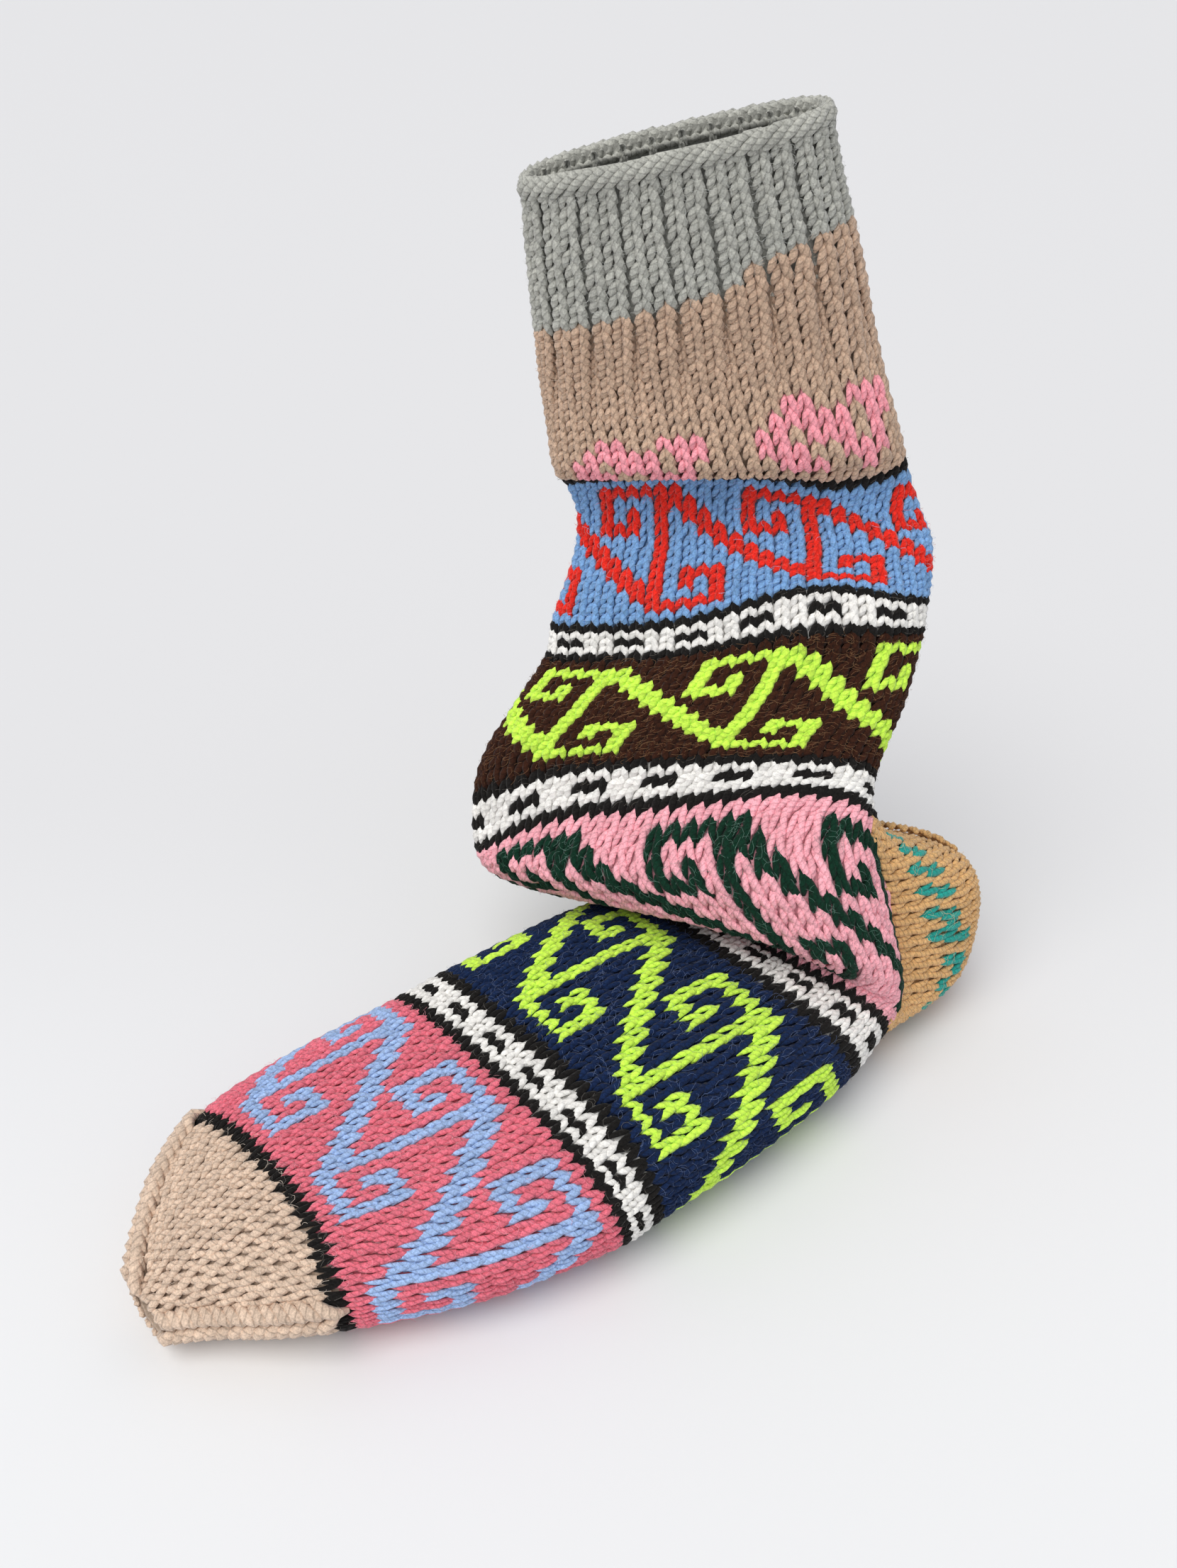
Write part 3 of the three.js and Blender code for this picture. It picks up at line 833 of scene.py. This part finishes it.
# Braids: one strand from each side to the middle, each as long as it is across.
BRAID_ROWS = (113.9, 125.2)
BRAID_PITCH = 0.85
BRAID_COLUMNS = ("along", "across", "height", "thick")
BRAID = [(0.95, 4.6, -1.5, 0.8), (0.45, 3.7, 0.4, 1.4), (0.0, 2.5, 1.6, 1.8),
         (-0.45, 1.2, 1.3, 1.6), (-0.9, 0.2, -0.4, 0.9)]
along, across, height, thick = np.array(BRAID).T[:, None, :]
braid = []
for middle, measured, inwards in ((0.0, 3.0, TOE_EDGES[0]), (30.0, 27.0, -TOE_EDGES[1])):
    row = np.arange(*BRAID_ROWS, BRAID_PITCH)[:, None]
    width = np.maximum(stitch_width(row[:, 0], np.full(len(row), measured)), 0.25)[:, None]
    for hand in (-1, 1):
        lag = 0.4 * (hand > 0)
        column = middle + (inwards + hand * across) / width
        centre, normals = on_cloth(row + lag + along, column, height)
        braid.append((centre, normals, thick + 0 * column))
centre, normals, radius = (np.concatenate(part) for part in zip(*braid))
braids = yarn_mesh("toe_decrease_braids", centre, normals, radius, "sand")
cloth("toe_cloth", "toe", np.concatenate([np.linspace(113.2, 125, 24), [125.9]]),
      ROUND, [(113.2, "sand")], True)

# Loose fibres
# Wool sheds fine fibres that curl out of the stitches. They show as a pale haze on the dark
# yarns and along the sock's edges, and each yarn has its own. Their colours are paler tints of
# their yarns: painted sheen for the light that the fine fibres catch.
FIBRE_WIDTH = 0.055            # of one fibre, in mm
FIBRE_STEPS = 5                # points along one fibre
FIBRE_COLUMNS = ("name", "slot", "yarn", "colour", "count", "reach")
# Each colour is a paler tint of its yarn: painted sheen.
FIBRES = [
    ("cuff_grey_fibres", "cuff_wool", "grey", "#c9cbc6", 1500, 2.0),
    ("cuff_tan_fibres", "cuff_wool", "tan", "#dcc8b6", 900, 2.0),
    ("leg_black_fibres", "leg_wool", "black", "#6d6862", 600, 2.0),
    ("leg_brown_fibres", "leg_wool", "brown", "#8d6a4c", 2600, 2.4),
    ("leg_red_fibres", "leg_wool", "red", "#f06a5c", 900, 2.0),
    ("leg_blue_fibres", "leg_wool", "blue", "#a9c4e8", 900, 2.0),
    ("instep_green_fibres", "instep_wool", "green", "#6f9184", 900, 2.2),
    ("foot_black_fibres", "foot_wool", "black", "#77736e", 700, 2.0),
    ("foot_navy_fibres", "foot_wool", "navy", "#67779c", 1900, 2.2),
    ("foot_rose_fibres", "foot_wool", "rose", "#f0a6b2", 1100, 1.8),
]
FIBRE_CELLS = {"cuff_wool": cuff_cells, "leg_wool": leg_cells, "instep_wool": instep_cells,
               "foot_wool": foot_cells}


def fibre_wool_painted_sheen(colour):
    """Single loose wool fibres: matt, with a paler colour than their yarn as painted sheen."""
    material = bpy.data.materials.new("Loose wool fibres " + colour[1:])
    material.use_nodes = True
    shader = material.node_tree.nodes["Principled BSDF"]
    shader.inputs["Base Color"].default_value = linear(colour)
    shader.inputs["Roughness"].default_value = 0.9
    shader.inputs["Specular IOR Level"].default_value = 0.1
    return material


def add_fibres(name, colour, rows, columns, reach):
    """Thin ribbons that curl out of the cloth and back."""
    count = len(rows)
    t = np.linspace(0, 1, FIBRE_STEPS)[None, :]
    heading = uneven_hand.uniform(0, 2 * math.pi, (count, 1))
    bend = uneven_hand.normal(0, 1.4, (count, 1))
    length = uneven_hand.uniform(0.5, 1.3, (count, 1)) * reach / 3.6
    rise = uneven_hand.uniform(0.3, 1.5, (count, 1))
    row = rows[:, None] + length * t * np.cos(heading + bend * t)
    column = columns[:, None] + length * t * np.sin(heading + bend * t)
    height = rise * np.sin(math.pi * t * uneven_hand.uniform(0.5, 1, (count, 1)))
    points, normals = on_cloth(np.clip(row, 0, LAST_ROW - 1), column, height - 0.3)
    along = np.gradient(points, axis=1)
    side = np.cross(along, normals)
    side /= np.maximum(np.linalg.norm(side, axis=-1, keepdims=True), 1e-9)
    side *= FIBRE_WIDTH / 2
    ribbon = np.stack([points - side, points + side], axis=2)
    start = np.arange(count)[:, None] * 2 * FIBRE_STEPS
    step = np.arange(FIBRE_STEPS - 1)[None, :] * 2
    a = (start + step).ravel()
    faces = np.stack([a, a + 1, a + 3, a + 2], axis=1).tolist()
    piece = add_mesh(name, ribbon.reshape(-1, 3), faces, fibre_wool_painted_sheen(colour))
    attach(piece, "root")


for f in named(FIBRE_COLUMNS, FIBRES):
    cells = np.array(FIBRE_CELLS[f["slot"]][f["yarn"]], float)
    roots = cells[uneven_hand.integers(0, len(cells), f["count"])]
    roots += uneven_hand.uniform(0, 1, roots.shape)
    add_fibres(f["name"], f["colour"], roots[:, 0], roots[:, 1], f["reach"])
# The toe's and the heel's fibres are paler tints of sand and camel: painted sheen.
add_fibres("toe_fibres", "#f0e0d0", uneven_hand.uniform(113, 124, 600),
           uneven_hand.uniform(0, STITCHES, 600), 2.0)
add_fibres("heel_fibres", "#f0cf9f", uneven_hand.uniform(64, 77, 1800),
           uneven_hand.uniform(31, 60, 1800), 2.6)

# The floor and the light
# The sock stands on a white sweep in soft daylight that comes from the toe's side. Painted light:
# the sweep's colour is a little brighter in front of the sock than behind it, standing in for the
# fall-off of the room's light.
FLOOR_PAINTED_LIT = "#ebecee"
FLOOR_PAINTED_SHADE = "#dfdfe1"
FLOOR_AWAY = (-0.848, 0.53, 0)  # from the front of the sweep to its back
FLOOR_PAINTED_LIGHT_SPAN = (-0.12, 0.16)      # where the painted brighter part starts and ends to fade, in metres
floor_material = bpy.data.materials.new("White sweep")
floor_material.use_nodes = True
floor_tree = floor_material.node_tree
floor_shader = floor_tree.nodes["Principled BSDF"]
floor_place = add_node(floor_tree, "ShaderNodeTexCoord")
floor_away = add_node(floor_tree, "ShaderNodeVectorMath", {"operation": "DOT_PRODUCT"},
                      {0: floor_place.outputs["Object"], 1: FLOOR_AWAY})
floor_painted_light_fade = add_node(floor_tree, "ShaderNodeMapRange", {"interpolation_type": "SMOOTHSTEP"},
                      {"Value": floor_away.outputs["Value"], "From Min": FLOOR_PAINTED_LIGHT_SPAN[0],
                       "From Max": FLOOR_PAINTED_LIGHT_SPAN[1]})
# Painted light and shade: the sweep's colour goes from the lit near colour to the darker far one.
floor_painted_light_colour = add_node(floor_tree, "ShaderNodeMix", {"data_type": "RGBA"},
                        {"Factor": floor_painted_light_fade.outputs["Result"]})
floor_painted_light_colour.inputs[6].default_value = linear(FLOOR_PAINTED_LIT)
floor_painted_light_colour.inputs[7].default_value = linear(FLOOR_PAINTED_SHADE)
floor_tree.links.new(floor_painted_light_colour.outputs[2], floor_shader.inputs["Base Color"])
floor_shader.inputs["Roughness"].default_value = 0.9
floor_mesh = bpy.data.meshes.new("floor")
reach = 14.0
floor_mesh.from_pydata([(-reach, -reach, 0), (reach, -reach, 0), (reach, reach, 0),
                        (-reach, reach, 0)], [], [(0, 1, 2, 3)])
floor_mesh.materials.append(floor_material)
floor = bpy.data.objects.new("floor", floor_mesh)
bpy.context.scene.collection.objects.link(floor)

world = bpy.data.worlds.new("Soft daylight")
world.use_nodes = True
world.node_tree.nodes["Background"].inputs["Color"].default_value = linear("#f3f5fa")
world.node_tree.nodes["Background"].inputs["Strength"].default_value = 0.6
bpy.context.scene.world = world

window_light = bpy.data.lights.new("Wide window", "SUN")
window_light.energy = 1.95
window_light.angle = math.radians(45)
window_light.color = linear("#fffdf8")[:3]
window = bpy.data.objects.new("Wide window", window_light)
window.rotation_euler = Vector((-0.2, 0.5, -1.0)).to_track_quat("-Z", "Y").to_euler()
bpy.context.scene.collection.objects.link(window)

# The camera
camera_data = bpy.data.cameras.new("Camera")
camera_data.sensor_fit = "HORIZONTAL"
camera_data.sensor_width = 36
camera_data.lens = 39.04
camera = bpy.data.objects.new("Camera", camera_data)
camera.location = (0.228, -0.1327, 0.2812)
camera.rotation_euler = (math.radians(56), 0, math.radians(58))
bpy.context.scene.collection.objects.link(camera)
bpy.context.scene.camera = camera
bpy.context.scene.view_settings.view_transform = "Standard"
